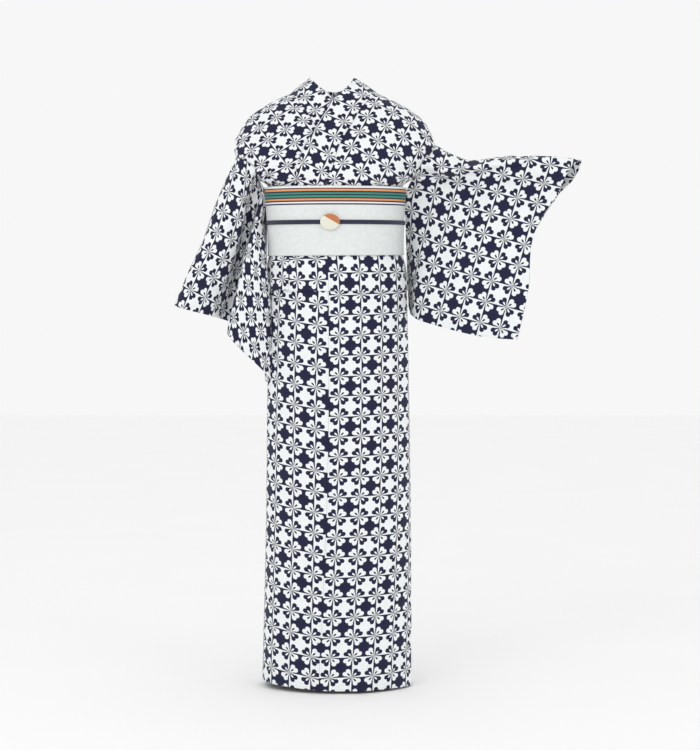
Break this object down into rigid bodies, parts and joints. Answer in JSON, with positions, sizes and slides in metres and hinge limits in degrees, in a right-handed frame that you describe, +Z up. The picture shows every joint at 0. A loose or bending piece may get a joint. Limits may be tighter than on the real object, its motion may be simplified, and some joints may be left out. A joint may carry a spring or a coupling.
{
  "type": "yukata",
  "caption": "Cotton summer robe in a checked clover print, wrapped left over right, with a flat sash, cord and clip, one sleeve raised.",
  "frame": {"origin": "the wearer's body axis at shoulder height, where the garment is held", "axes": "+Z up along the body, -Y to the front, +X to the wearer's left, where the sleeve is raised"},
  "size_m": [0.8733, 0.2669, 1.323],
  "materials": {
    "printed_cotton": "matte cotton printed in navy and white",
    "sash_cloth": "tone-on-tone woven sash with coloured stripes",
    "cord": "flat navy braid",
    "clip": "glazed cream and amber"
  },
  "bodies": {
    "root": {"bodice_left": "printed_cotton", "bodice_right": "printed_cotton", "overlap_left_upper": "printed_cotton", "overlap_right_upper": "printed_cotton", "collar": "printed_cotton", "sleeve_left": "printed_cotton", "sleeve_right": "printed_cotton", "skirt_back_left": "printed_cotton", "skirt_back_right": "printed_cotton", "skirt_front_left": "printed_cotton", "skirt_front_right": "printed_cotton", "overlap_left": "printed_cotton", "overlap_right": "printed_cotton", "sash_wrap": "sash_cloth", "sash_knot": "sash_cloth", "sash_end_wide": "sash_cloth", "sash_end_narrow": "sash_cloth", "sash_cord": "cord", "sash_clip": "clip"}
  },
  "joints": []
}
